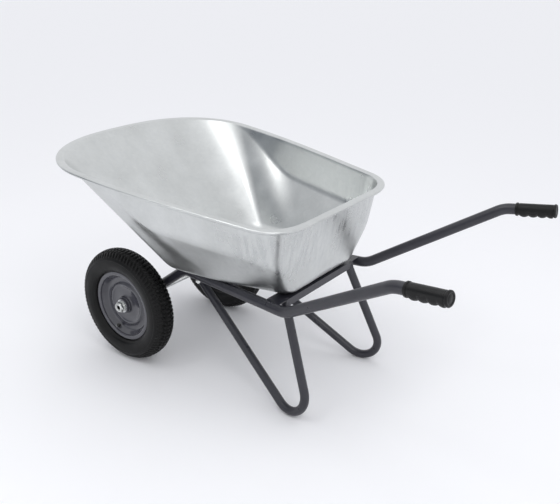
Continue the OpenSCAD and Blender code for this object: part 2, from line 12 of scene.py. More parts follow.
import bpy
import numpy as np
from mathutils import Matrix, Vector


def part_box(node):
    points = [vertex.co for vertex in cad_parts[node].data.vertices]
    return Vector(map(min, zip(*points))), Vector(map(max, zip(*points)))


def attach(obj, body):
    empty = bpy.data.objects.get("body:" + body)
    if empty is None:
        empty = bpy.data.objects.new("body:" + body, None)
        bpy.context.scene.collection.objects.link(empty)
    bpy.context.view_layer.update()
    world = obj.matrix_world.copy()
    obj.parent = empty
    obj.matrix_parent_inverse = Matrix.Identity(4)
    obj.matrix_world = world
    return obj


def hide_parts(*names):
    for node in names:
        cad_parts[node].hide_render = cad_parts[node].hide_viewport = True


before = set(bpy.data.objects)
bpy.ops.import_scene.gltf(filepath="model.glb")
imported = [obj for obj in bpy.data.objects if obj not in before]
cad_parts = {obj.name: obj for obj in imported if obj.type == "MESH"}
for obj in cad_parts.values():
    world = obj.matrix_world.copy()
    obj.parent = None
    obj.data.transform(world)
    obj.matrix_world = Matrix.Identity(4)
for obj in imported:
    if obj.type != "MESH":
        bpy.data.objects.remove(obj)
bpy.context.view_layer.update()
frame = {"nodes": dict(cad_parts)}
LOG = logging.getLogger("wheelbarrow")
AXLE_LOW, AXLE_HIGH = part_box("axle")
AXLE_X = 500.0 * (AXLE_LOW.x + AXLE_HIGH.x)
BODY = "frame"
UP = np.array([0.0, 0.0, 1.0])
ACROSS = np.array([0.0, 1.0, 0.0])
CUT = 0.22
Numbers = Union[float, np.ndarray]


class Side(Enum):
    """Which side of the barrow a piece is on, as the sign of its Y."""
    LEFT = 1
    RIGHT = -1

    @property
    def word(self) -> str:
        """The side's name, as the nodes spell it."""
        return self.name.lower()

    @property
    def wheel(self) -> str:
        """The body of this side's wheel."""
        return f"{self.word}_wheel"


# ---- arrays ---------------------------------------------------------------------


def unit(v: np.ndarray) -> np.ndarray:
    """Each vector divided by its own length."""
    return v / np.maximum(np.linalg.norm(v, axis=-1, keepdims=True), 1e-12)


def mix(a: Numbers, b: Numbers, t: Numbers) -> Numbers:
    """The point a share t of the way from a to b."""
    return a + (b - a) * t


def smooth(x: np.ndarray, low: float, high: float) -> np.ndarray:
    """Smoothstep: 0 below low, 1 above high, 3t^2 - 2t^3 between them."""
    t = np.clip((x - low) / (high - low), 0.0, 1.0)
    return t * t * (3.0 - 2.0 * t)


def bezier(points: list, t: np.ndarray) -> np.ndarray:
    """A Bezier curve by repeated mixing of its control points.

    Args:
        points: control points, each of any shape ending in its coordinates.
        t: parameter values, one row of the result for each.

    Returns:
        The points of the curve.
    """
    shape = (len(t),) + (1,) * np.ndim(points[0])
    t = np.asarray(t, float).reshape(shape)
    level = [np.asarray(p, float)[None] for p in points]
    while len(level) > 1:
        level = [mix(a, b, t) for a, b in zip(level, level[1:])]
    return level[0]


def mirrored(points: np.ndarray, side: Side) -> np.ndarray:
    """Points with Y multiplied by the side's sign."""
    return points * np.array([1.0, side.value, 1.0])


def to_frame(points: np.ndarray) -> np.ndarray:
    """Millimetres from the axle turned into the frame's metres."""
    return (np.asarray(points, float) + np.array([AXLE_X, 0.0, 0.0])) / 1000.0


def grid_faces(rows: int, cols: int, close_rows: bool = False, close_cols: bool = True) -> np.ndarray:
    """Quads of a grid whose point (r, c) has number r * cols + c.

    Args:
        rows: number of rows.
        cols: number of columns.
        close_rows: whether the last row joins the first.
        close_cols: whether the last column joins the first.

    Returns:
        One row of four point numbers for each quad.
    """
    r = np.arange(rows if close_rows else rows - 1)[:, None]
    c = np.arange(cols if close_cols else cols - 1)[None, :]
    r1, c1 = (r + 1) % rows, (c + 1) % cols
    quads = np.stack([r * cols + c, r * cols + c1, r1 * cols + c1, r1 * cols + c], axis=-1)
    return quads.reshape(-1, 4)


@dataclass
class Shape:
    """A mesh in the making: points in millimetres and faces of any number of corners."""
    points: np.ndarray
    faces: list

    def joined(self, other: "Shape") -> "Shape":
        """This shape and another in one mesh, not merged."""
        moved = [[i + len(self.points) for i in f] for f in other.faces]
        return Shape(np.vstack([self.points, other.points]), self.faces + moved)

    def volume(self) -> float:
        """Signed volume: the sum over the faces of their cones to the origin, a third each."""
        total = 0.0
        for corners in {len(f) for f in self.faces}:
            f = np.array([g for g in self.faces if len(g) == corners])
            p = self.points[f]
            for k in range(1, corners - 1):
                total += np.einsum("ij,ij->", p[:, 0], np.cross(p[:, k], p[:, k + 1])) / 6.0
        return total

    def piece(self, name: str, body: str, finish: "Finish", slot: str, replaces: tuple = (),
              crease_deg: float = 40.0) -> bpy.types.Object:
        """Makes the Blender object and puts it on its body.

        Args:
            name: the object's name.
            body: the body that it rides on.
            finish: what its surface is made of.
            slot: the record's material slot for it; not used.
            replaces: nodes that it stands for.
            crease_deg: edges folded by more than this stay sharp.

        Returns:
            The new object.
        """
        faces = self.faces if self.volume() > 0 else [list(f)[::-1] for f in self.faces]
        mesh = bpy.data.meshes.new(name)
        mesh.from_pydata(to_frame(self.points).tolist(), [], [list(map(int, f)) for f in faces])
        mesh.validate()
        mesh.shade_smooth()
        mesh.set_sharp_from_angle(angle=math.radians(crease_deg))
        mesh.materials.append(finish.material())
        obj = bpy.data.objects.new(name, mesh)
        bpy.context.scene.collection.objects.link(obj)
        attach(obj, body)
        if replaces:
            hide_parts(*replaces)
        LOG.info("%s: %d points, rides on %s", name, len(self.points), body)
        return obj


def lathe(profile: np.ndarray, steps: int, radius: Optional[Callable] = None) -> Shape:
    """A closed outline turned round +Z: (r cos a, r sin a, z) for each of its points.

    Args:
        profile: closed outline of (r, z) points.
        steps: how many steps round the axis.
        radius: gives new (r, z) from (r, z, angle), for patterns cut into the surface.

    Returns:
        The turned shape.
    """
    a = np.linspace(0.0, 2 * math.pi, steps, endpoint=False)[None, :]
    r, z = np.broadcast_arrays(profile[:, 0][:, None] + 0 * a, profile[:, 1][:, None] + 0 * a)
    if radius is not None:
        r, z = radius(r, z, a + 0 * r)
    points = np.stack([r * np.cos(a), r * np.sin(a), z], axis=-1).reshape(-1, 3)
    return Shape(points, grid_faces(len(profile), steps, close_rows=True).tolist())


def rounded(corners: np.ndarray, times: int = 2, closed: bool = True) -> np.ndarray:
    """Corner cutting: each corner becomes two points, a share CUT of the way along its edges."""
    for _ in range(times):
        following = np.roll(corners, -1, axis=0) if closed else corners[1:]
        start = corners if closed else corners[:-1]
        cut = np.stack([mix(start, following, CUT), mix(start, following, 1.0 - CUT)], axis=1)
        middle = cut.reshape(-1, corners.shape[1])
        corners = middle if closed else np.vstack([corners[:1], middle, corners[-1:]])
    return corners


def fillet_path(corners: list, radius: float, steps: int) -> np.ndarray:
    """Points along straight runs joined by arcs of one radius.

    Each corner p, between unit directions u and w back and on, has its arc's centre
    along u + w at radius / sin(half angle), and is swept through its turn.
    """
    corners = [np.asarray(c, float) for c in corners]
    out = [corners[0][None]]
    for a, p, b in zip(corners, corners[1:], corners[2:]):
        u, w = unit(a - p), unit(b - p)
        half = math.acos(float(u @ w)) / 2
        centre = p + unit(u + w) * radius / math.sin(half)
        e = unit(p + u * radius / math.tan(half) - centre)
        t = np.linspace(0.0, math.pi - 2 * half, steps)[:, None]
        out.append(centre + radius * (np.cos(t) * e - np.sin(t) * u))
    return np.vstack(out + [corners[-1][None]])


def tube(path: np.ndarray, radius: Numbers, sides: int, ref: np.ndarray,
         closed: bool = False) -> Shape:
    """A round bar along a path: path + r (cos a x + sin a y).

    The direction x is across ref and the path, and y is across the path and x.

    Args:
        path: points along the middle.
        radius: one radius, or one for each point.
        sides: points round each ring.
        ref: a direction that is never along the path, or one for each point.
        closed: whether the path is a loop.

    Returns:
        The bar, its ends closed unless it is a loop.
    """
    if closed:
        tangent = unit(np.roll(path, -1, axis=0) - np.roll(path, 1, axis=0))
    else:
        tangent = unit(np.gradient(path, axis=0))
    x = unit(np.cross(np.broadcast_to(ref, tangent.shape), tangent))
    y = np.cross(tangent, x)
    a = np.linspace(0.0, 2 * math.pi, sides, endpoint=False)[None, :, None]
    r = np.broadcast_to(np.asarray(radius, float), (len(path),))[:, None, None]
    rings = path[:, None] + r * (np.cos(a) * x[:, None] + np.sin(a) * y[:, None])
    faces = grid_faces(len(path), sides, close_rows=closed).tolist()
    if not closed:
        last = (len(path) - 1) * sides
        faces += [list(range(sides))[::-1], list(range(last, last + sides))]
    return Shape(rings.reshape(-1, 3), faces)


def standing(shape: Shape, foot: np.ndarray, axis: np.ndarray, upwards: np.ndarray = UP) -> Shape:
    """The shape with its +Z turned onto axis, its +X leaning to upwards, and its origin at foot."""
    z = unit(np.asarray(axis, float))
    y = unit(np.cross(z, upwards))
    x = np.cross(y, z)
    return Shape(shape.points @ np.stack([x, y, z]) + foot, shape.faces)


# ---- finishes -------------------------------------------------------------------


def linear(code: str) -> tuple:
    """An sRGB hex colour as linear red, green, blue and full alpha."""
    s = [int(code.lstrip("#")[i:i + 2], 16) / 255.0 for i in (0, 2, 4)]
    return tuple(c / 12.92 if c <= 0.04045 else ((c + 0.055) / 1.055) ** 2.4 for c in s) + (1.0,)


def add(tree: bpy.types.NodeTree, kind: str, links: Optional[dict] = None, **settings) -> bpy.types.Node:
    """Adds one node with its settings, input values and links.

    Args:
        tree: the material's node tree.
        kind: the node's type.
        links: input name or number to a value, or to the output socket that feeds it.
        settings: attributes of the node.

    Returns:
        The node.
    """
    node = tree.nodes.new(kind)
    for key, value in settings.items():
        setattr(node, key, value)
    for key, value in (links or {}).items():
        if isinstance(value, bpy.types.NodeSocket):
            tree.links.new(value, node.inputs[key])
        else:
            node.inputs[key].default_value = value
    return node


def per_mm(size: float) -> float:
    """The texture scale at which a pattern's cells are about size millimetres."""
    return 1000.0 / size


@dataclass(frozen=True)
class Finish:
    """One real surface: its common name, colour and gloss. Subclasses add its pattern."""
    name: str
    colour: str
    roughness: float
    metallic: float = 0.0
    coat: float = 0.0
    specular: float = 0.5

    def material(self) -> bpy.types.Material:
        """The material, made once and then shared."""
        found = bpy.data.materials.get(self.name)
        if found is not None:
            return found
        made = bpy.data.materials.new(self.name)
        made.use_nodes = True
        tree = made.node_tree
        surface = tree.nodes["Principled BSDF"]
        surface.inputs["Base Color"].default_value = linear(self.colour)
        surface.inputs["Roughness"].default_value = self.roughness
        surface.inputs["Metallic"].default_value = self.metallic
        surface.inputs["Coat Weight"].default_value = self.coat
        surface.inputs["Specular IOR Level"].default_value = self.specular
        self.pattern(tree, surface, add(tree, "ShaderNodeTexCoord").outputs["Object"])
        return made

    def pattern(self, tree: bpy.types.NodeTree, surface: bpy.types.Node,
                place: bpy.types.NodeSocket) -> None:
        """Adds the fine variation of colour, gloss and relief.

        Args:
            tree: the node tree.
            surface: the principled surface.
            place: Object coordinates, in metres.
        """
        self.speckle(tree, surface, place, 2.0, 0.04, 0.05)

    def noise(self, tree: bpy.types.NodeTree, place: bpy.types.NodeSocket, size: float,
              detail: float = 3.0) -> bpy.types.NodeSocket:
        """Noise whose lumps are about size millimetres."""
        return add(tree, "ShaderNodeTexNoise",
                   {"Vector": place, "Scale": per_mm(size), "Detail": detail}).outputs["Fac"]

    def between(self, tree: bpy.types.NodeTree, value: bpy.types.NodeSocket, low: float, high: float,
                source: tuple = (0.3, 0.7)) -> bpy.types.NodeSocket:
        """A pattern's usual range source stretched onto low to high, and held there."""
        return add(tree, "ShaderNodeMapRange", {"Value": value, "From Min": source[0], "From Max": source[1],
                                                "To Min": low, "To Max": high}).outputs["Result"]

    def tinted(self, tree: bpy.types.NodeTree, share: bpy.types.NodeSocket, other: str,
               under: Optional[bpy.types.NodeSocket] = None) -> bpy.types.NodeSocket:
        """The finish's colour, or the socket under, mixed with another colour by share."""
        blend = add(tree, "ShaderNodeMix", data_type="RGBA")
        tree.links.new(share, blend.inputs["Factor"])
        if under is None:
            blend.inputs["A"].default_value = linear(self.colour)
        else:
            tree.links.new(under, blend.inputs["A"])
        blend.inputs["B"].default_value = linear(other)
        return blend.outputs["Result"]

    def relief(self, tree: bpy.types.NodeTree, surface: bpy.types.Node, height: bpy.types.NodeSocket,
               depth_mm: float, strength: float = 1.0) -> None:
        """Bump of that depth on the surface, over any bump that it has."""
        links = {"Height": height, "Distance": depth_mm / 1000.0, "Strength": strength}
        if surface.inputs["Normal"].is_linked:
            links["Normal"] = surface.inputs["Normal"].links[0].from_socket
        bump = add(tree, "ShaderNodeBump", links)
        tree.links.new(bump.outputs["Normal"], surface.inputs["Normal"])

    def speckle(self, tree: bpy.types.NodeTree, surface: bpy.types.Node, place: bpy.types.NodeSocket,
                size: float, depth_mm: float, gloss: float) -> None:
        """Fine relief, and a roughness that wanders by gloss round its middle value."""
        self.relief(tree, surface, self.noise(tree, place, size), depth_mm)
        wander = self.noise(tree, place, 40.0, 2.0)
        tree.links.new(self.between(tree, wander, self.roughness - gloss, self.roughness + gloss),
                       surface.inputs["Roughness"])


@dataclass(frozen=True)
class GalvanisedSheet(Finish):
    """Hot-dip galvanised deep-drawn steel sheet: a satin grey metal whose zinc shows faint
    cloudy patches, and where the sheet was squeezed in the draw, upright darker streaks."""
    cloud_mm: float = 90.0
    crystal_mm: float = 9.0
    streak_mm: tuple = (13.0, 13.0, 420.0)
    streak_share: float = 0.26
    # Where the streaks come in, as (axis, none here, full here) in the frame's millimetres:
    # the rear half, above the lower facet, and not on the lip
    streak_place: tuple = (("X", 60.0, -130.0), ("Z", 360.0, 460.0), ("Z", 560.0, 530.0))

    def pattern(self, tree: bpy.types.NodeTree, surface: bpy.types.Node,
                place: bpy.types.NodeSocket) -> None:
        """Clouds, zinc crystals and draw streaks of the sizes above, and a faint waviness.

        The streaks are drawn coarser than the real ones, which are too fine to show.
        """
        cloud = self.noise(tree, place, self.cloud_mm, 4.0)
        crystal = add(tree, "ShaderNodeTexVoronoi", {"Vector": place, "Scale": per_mm(self.crystal_mm)})
        grain = add(tree, "ShaderNodeRGBToBW", {"Color": crystal.outputs["Color"]}).outputs["Val"]
        stretched = add(tree, "ShaderNodeMapping",
                        {"Vector": place, "Scale": tuple(per_mm(size) for size in self.streak_mm)})
        streak = add(tree, "ShaderNodeTexNoise", {"Vector": stretched.outputs["Vector"], "Scale": 1.0,
                                                  "Detail": 3.0, "Roughness": 0.5}).outputs["Fac"]
        apart = add(tree, "ShaderNodeSeparateXYZ", {"Vector": place})
        share = self.between(tree, streak, 0.0, 1.0, (0.40, 0.72))
        for axis, none, full in self.streak_place:
            here = add(tree, "ShaderNodeMapRange",
                       {"Value": apart.outputs[axis], "From Min": none / 1000.0, "From Max": full / 1000.0},
                       interpolation_type="SMOOTHSTEP").outputs["Result"]
            share = add(tree, "ShaderNodeMath", {0: share, 1: here}, operation="MULTIPLY").outputs["Value"]
        soft_share = add(tree, "ShaderNodeMath", {0: share, 1: self.streak_share},
                         operation="MULTIPLY").outputs["Value"]
        cloudy = self.tinted(tree, self.between(tree, cloud, 0.0, 0.45), "#B9BBB9")
        crystals = self.tinted(tree, self.between(tree, grain, 0.0, 0.10, (0.0, 1.0)), "#8E9599", cloudy)
        tree.links.new(self.tinted(tree, soft_share, "#82888B", crystals), surface.inputs["Base Color"])
        rough = self.between(tree, cloud, self.roughness + 0.05, self.roughness - 0.06)
        drawn = add(tree, "ShaderNodeMath", {0: share, 1: -0.10}, operation="MULTIPLY").outputs["Value"]
        tree.links.new(add(tree, "ShaderNodeMath", {0: rough, 1: drawn}, operation="ADD").outputs["Value"],
                       surface.inputs["Roughness"])
        self.relief(tree, surface, self.noise(tree, place, 150.0, 1.0), 0.5, 0.5)
        self.relief(tree, surface, self.noise(tree, place, 2.4, 1.0), 0.012, 0.4)


@dataclass(frozen=True)
class PowderCoat(Finish):
    """Polyester powder coat baked on steel: an even semi-gloss colour with a fine orange peel."""
    peel_mm: float = 2.2

    def pattern(self, tree: bpy.types.NodeTree, surface: bpy.types.Node,
                place: bpy.types.NodeSocket) -> None:
        """Orange peel of peel_mm, and handling dust that greys it a little."""
        self.speckle(tree, surface, place, self.peel_mm, 0.05, 0.05)
        dust = self.between(tree, self.noise(tree, place, 55.0, 5.0), 0.0, 0.05, (0.45, 0.75))
        tree.links.new(self.tinted(tree, dust, "#77777D"), surface.inputs["Base Color"])


@dataclass(frozen=True)
class Rubber(Finish):
    """Carbon-black rubber, moulded: nearly black and matt, greyed by mould bloom."""
    bloom: str = "#3A3A3B"
    grain_mm: float = 0.9

    def pattern(self, tree: bpy.types.NodeTree, surface: bpy.types.Node,
                place: bpy.types.NodeSocket) -> None:
        """Grain of grain_mm, and bloom in patches of 25 mm."""
        self.speckle(tree, surface, place, self.grain_mm, 0.05, 0.08)
        bloom = self.between(tree, self.noise(tree, place, 25.0, 5.0), 0.0, 0.5)
        tree.links.new(self.tinted(tree, bloom, self.bloom), surface.inputs["Base Color"])


@dataclass(frozen=True)
class ZincPlate(Finish):
    """Bright zinc plate on turned or pressed steel: a cool silver with a slightly uneven gloss."""

    def pattern(self, tree: bpy.types.NodeTree, surface: bpy.types.Node,
                place: bpy.types.NodeSocket) -> None:
        """Plating patches of 6 mm and tool marks of 0.7 mm."""
        self.relief(tree, surface, self.noise(tree, place, 0.7), 0.015, 0.6)
        patch = self.noise(tree, place, 6.0, 3.0)
        tree.links.new(self.between(tree, patch, self.roughness - 0.08, self.roughness + 0.1),
                       surface.inputs["Roughness"])
        tree.links.new(self.tinted(tree, self.between(tree, patch, 0.0, 0.35), "#A9A79C"),
                       surface.inputs["Base Color"])


# Hot-dip galvanised sheet, deep drawn: satin and light grey, with broad soft highlights
PAN_STEEL = GalvanisedSheet("galvanised drawn steel sheet", "#D3D5D4", 0.33, metallic=1.0)
# Polyester powder baked on tube: near-black with a cool cast and a soft sheen
FRAME_PAINT = PowderCoat("anthracite powder coat", "#2A2A31", 0.32)
# The same on smooth pressed steel, in a glossier grade: sharper highlights along the steps
RIM_PAINT = PowderCoat("gloss anthracite powder coat", "#3E3E45", 0.18, coat=0.5, peel_mm=3.5)
# Carbon-black rubber moulded in a polished mould: deep black, faintly glossy
TYRE_RUBBER = Rubber("moulded tyre rubber", "#060606", 0.38, specular=0.22, bloom="#0F0F0F")
# Softer moulded rubber handled by hand: black, with soft highlights on the rolls
GRIP_RUBBER = Rubber("moulded grip rubber", "#080809", 0.4, specular=0.3, bloom="#131314",
                     grain_mm=0.6)
# Butyl rubber, moulded: smooth, matt and slightly grey
TUBE_RUBBER = Rubber("butyl rubber", "#0F0F10", 0.45, bloom="#181819")
# Injection-moulded polypropylene: black with an even shine
CAP_PLASTIC = Finish("moulded black polypropylene", "#090909", 0.3)
# Electroplated zinc on turned and pressed steel: bright, cool silver
ZINC = ZincPlate("bright zinc-plated steel", "#E4E6E6", 0.22, metallic=1.0)
# Painted shade: near-black on the faces inside each drilled axle end, so that the hole reads as a dark opening
PAINTED_HOLE_SHADE = PowderCoat("painted shade inside drilled hole", "#0B0B0C", 0.5, specular=0.2)
# Hardened steel, ground and polished: mirror-like
BALL_STEEL = Finish("ground bearing steel", "#C9CACC", 0.15, metallic=1.0)
# Matt rolled paper, as a studio floor: pale, with no highlight
FLOOR_PAPER = Finish("pale seamless paper", "#F6F6F8", 0.9)


def dress(finish: Finish, *nodes: str) -> None:
    """Puts a finish on CAD nodes that stay in view.

    Args:
        finish: the finish.
        nodes: the nodes' names.
    """
    for name in nodes:
        obj = frame["nodes"][name]
        if not obj.material_slots:
            obj.data.materials.append(finish.material())
        for held in obj.material_slots:
            held.material = finish.material()
        LOG.info("%s keeps its shape and gets %s", name, finish.name)


# ---- pan ------------------------------------------------------------------------


@dataclass
class Pan:
    """The deep-drawn pan: a flat floor, a lower facet, a steep upper wall and a rolled rim."""
    sheet: float = 1.2
    floor_z: float = 335.0
    rim_z: float = 636.0
    rim_slope: float = 0.115
    lip: float = 22.0
    roll: float = 9.0
    floor_round: float = 34.0
    crease_side: float = 106.0
    crease_rear: float = 176.0
    crease_round: float = 16.0
    draft: float = 0.2
    fade: tuple = (-250.0, 70.0)
    # Outlines as (rear x, rear y, corner x, side y, slope, wide x, wide y, front x, squareness)
    rim_line: tuple = (-623.0, 155.0, -543.0, 281.0, 0.18, 0.0, 353.0, 220.0, 2.6)
    floor_line: tuple = (-578.0, 112.0, -540.0, 160.0, 0.21, -208.0, 208.0, -150.0, 5.0)
    flat_line: tuple = (-544.0, 90.0, -506.0, 126.0, 0.21, -216.0, 174.0, -184.0, 4.0)
    steps: tuple = (18, 56, 70, 120)

    def outline(self, o: tuple) -> np.ndarray:
        """Half an outline from the middle of the rear round to the middle of the front.

        A straight rear edge, a Bezier corner, a Bezier side, and a nose whose x goes with
        the sine of an angle and whose y with a power of its cosine.
        """
        rear_x, rear_y, corner_x, side_y, slope, wide_x, wide_y, front_x, square = o
        s = [np.linspace(0.0, 1.0, n, endpoint=False) for n in self.steps[:3]]
        nose = 1.0 - (1.0 - np.linspace(0.0, 1.0, self.steps[3])) ** 1.35
        dx, run = corner_x - rear_x, (wide_x - corner_x) / 3.0
        rear = np.stack([0 * s[0] + rear_x, rear_y * s[0]], axis=1)
        corner = bezier([[rear_x, rear_y], [rear_x, mix(rear_y, side_y, 0.62)],
                         [corner_x - 0.62 * dx, side_y - 0.62 * dx * slope], [corner_x, side_y]], s[1])
        side = bezier([[corner_x, side_y], [corner_x + run, side_y + run * slope],
                       [wide_x - run, wide_y], [wide_x, wide_y]], s[2])
        a = nose * math.pi / 2
        front = np.stack([mix(wide_x, front_x, np.sin(a)),
                          wide_y * np.maximum(0.0, np.cos(a)) ** (2.0 / square)], axis=1)
        front[-1, 1] = 0.0
        return np.vstack([rear, corner, side, front])

    def crease_depth(self) -> np.ndarray:
        """How far below the rim the crease runs: deepest at the rear, even along the side."""
        s = [np.linspace(0.0, 1.0, n, endpoint=False) for n in self.steps[:2]]
        rear = mix(self.crease_rear, self.crease_side, 0.35 * s[0] ** 2)
        corner = mix(self.crease_rear, self.crease_side, 0.35 + 0.65 * (1 - (1 - s[1]) ** 2))
        rest = np.full(self.steps[2] + self.steps[3], self.crease_side)
        return np.concatenate([rear, corner, rest])

    def half_rows(self) -> np.ndarray:
        """Inner face as rows by stations: floor, lower round, facet, crease, wall, lip and roll.

        Each round is a Bezier curve whose middle control point is the sharp corner.
        """
        rim = self.outline(self.rim_line)
        top = np.column_stack([rim, self.rim_z + self.rim_slope * rim[:, 0]])
        before = np.vstack([rim[1:2] * [1, -1], rim[:-1]])
        after = np.vstack([rim[1:], rim[-2:-1] * [1, -1]])
        d = after - before
        out = unit(np.column_stack([-d[:, 1], d[:, 0], 0 * d[:, 0]]))
        uphill = out + np.outer(self.rim_slope * out[:, 0], UP)
        lift = lambda o: np.column_stack([self.outline(o), np.full(len(rim), self.floor_z + self.sheet)])
        base, flat = lift(self.floor_line), lift(self.flat_line)
        left = (1.0 - smooth(rim[:, 0], *self.fade))[:, None]
        drop = np.maximum(12.0, self.crease_depth()[:, None] * left)
        on_line = top + (base - top) * drop / (top[:, 2:] - base[:, 2:])
        on_wall = top - out * self.draft * drop - UP * drop
        crease = mix(on_line, on_wall, left)
        knee = base + unit(crease - base) * self.floor_round
        soft = np.minimum(self.crease_round, drop / 3.0)
        below = crease + unit(base - crease) * soft
        above = crease + unit(top - crease) * soft
        throat = top + unit(crease - top) * np.minimum(5.0, drop / 3.0)
        lip = top + uphill * 5.0
        edge = top + uphill * (self.lip - self.roll / 2)
        hub = edge - UP * self.roll / 2
        ramp = lambda n: np.linspace(0.0, 1.0, n)
        a = np.radians(np.arange(0.0, 331.0, 22.0))[:, None, None]
        middle = np.array([-360.0, 0.0, self.floor_z + self.sheet])
        inward = np.array([0.03, 0.35, 0.7])[:, None, None]
        rows = [middle + (flat - middle) * inward, bezier([flat, base, knee], ramp(14)),
                bezier([knee, below], ramp(12)[1:-1]), bezier([below, crease, above], ramp(9)),
                bezier([above, throat], ramp(12)[1:-1]), bezier([throat, top, lip], ramp(7)),
                hub[None] + self.roll / 2 * (np.sin(a) * out[None] + np.cos(a) * UP)]
        return np.vstack(rows)

    def build(self) -> None:
        """Closes the loop, gives the sheet its thickness along its normals, and makes the piece."""
        half = self.half_rows()
        loop = np.concatenate([half, half[:, -2:0:-1] * [1.0, -1.0, 1.0]], axis=1)
        rows, cols = loop.shape[:2]
        round_it = np.roll(loop, -1, axis=1) - np.roll(loop, 1, axis=1)
        normal = unit(np.cross(np.gradient(loop, axis=0), round_it))
        normal[:4] = -UP
        walls = Shape(np.vstack([loop.reshape(-1, 3), (loop + self.sheet * normal).reshape(-1, 3)]), [])
        inner = grid_faces(rows, cols)
        shift = rows * cols
        first, last = np.arange(cols), (rows - 1) * cols + np.arange(cols)
        edge = np.stack([last, np.roll(last, -1), np.roll(last, -1) + shift, last + shift], axis=1)
        walls.faces = (inner[:, ::-1].tolist() + (inner + shift).tolist() + edge[:, ::-1].tolist()
                       + [first.tolist(), (first + shift)[::-1].tolist()])
        walls.piece("pan_sheet", BODY, PAN_STEEL, "galvanised_sheet", ("pan",), 50.0)


# ---- frame ----------------------------------------------------------------------


@dataclass
class Weld:
    """Bead of weld metal along a seam, rippled as the arc moved on, and painted over."""
    radius: float = 2.4
    ripple_mm: float = 2.6

    def bead(self, path: np.ndarray, ref: np.ndarray, closed: bool = True) -> Shape:
        """A thin bar along the seam whose radius swells with the cosine of the length run."""
        steps = np.linalg.norm(np.diff(path, axis=0), axis=1)
        run = np.concatenate([[0.0], np.cumsum(steps)])
        waves = max(3.0, round(run[-1] / self.ripple_mm))
        swell = 1.0 + 0.10 * np.cos(2 * math.pi * waves * run / run[-1])
        if not closed:
            ends = np.minimum(run, run[-1] - run) / self.radius
            swell = swell * np.sqrt(np.clip(ends, 0.05, 1.0))
        return tube(path, self.radius * swell, 10, ref, closed)

    def round_bar(self, foot: np.ndarray, along: np.ndarray, radius: float,
                  reach: Callable[[np.ndarray], np.ndarray]) -> Shape:
        """The seam where a round bar meets another surface.

        Args:
            foot: a point on the bar's middle line.
            along: the bar's direction, towards the other piece.
            radius: the bar's radius.
            reach: gives, for points round the bar, how far on the other surface lies.

        Returns:
            The bead.
        """
        along = unit(along)
        x = unit(np.cross(ACROSS if abs(along[1]) < 0.9 else UP, along))
        y = np.cross(along, x)
        a = np.linspace(0.0, 2 * math.pi, 72, endpoint=False)[:, None]
        outward = np.cos(a) * x + np.sin(a) * y
        start = foot + radius * outward
        seam = start + reach(start)[:, None] * along
        return self.bead(seam, along)


def to_cylinder(along: np.ndarray, centre: np.ndarray, axis: np.ndarray, radius: float) -> Callable:
    """Distance from points to a cylinder along a direction, from the quadratic |p + t d| = r."""
    along, axis = unit(along), unit(axis)

    def reach(start: np.ndarray) -> np.ndarray:
        """The nearer crossing for each start point."""
        flat = lambda v: v - np.outer(v @ axis, axis).reshape(v.shape)
        p, d = flat(start - centre), flat(along[None])[0]
        b, c, a = p @ d, (p * p).sum(axis=1) - radius ** 2, d @ d
        return (-b - np.sqrt(np.maximum(b * b - a * c, 0.0))) / a
    return reach


def to_plane(along: np.ndarray, height: float) -> Callable:
    """Distance from points to a level plane along a direction."""
    return lambda start: (height - start[:, 2]) / unit(along)[2]


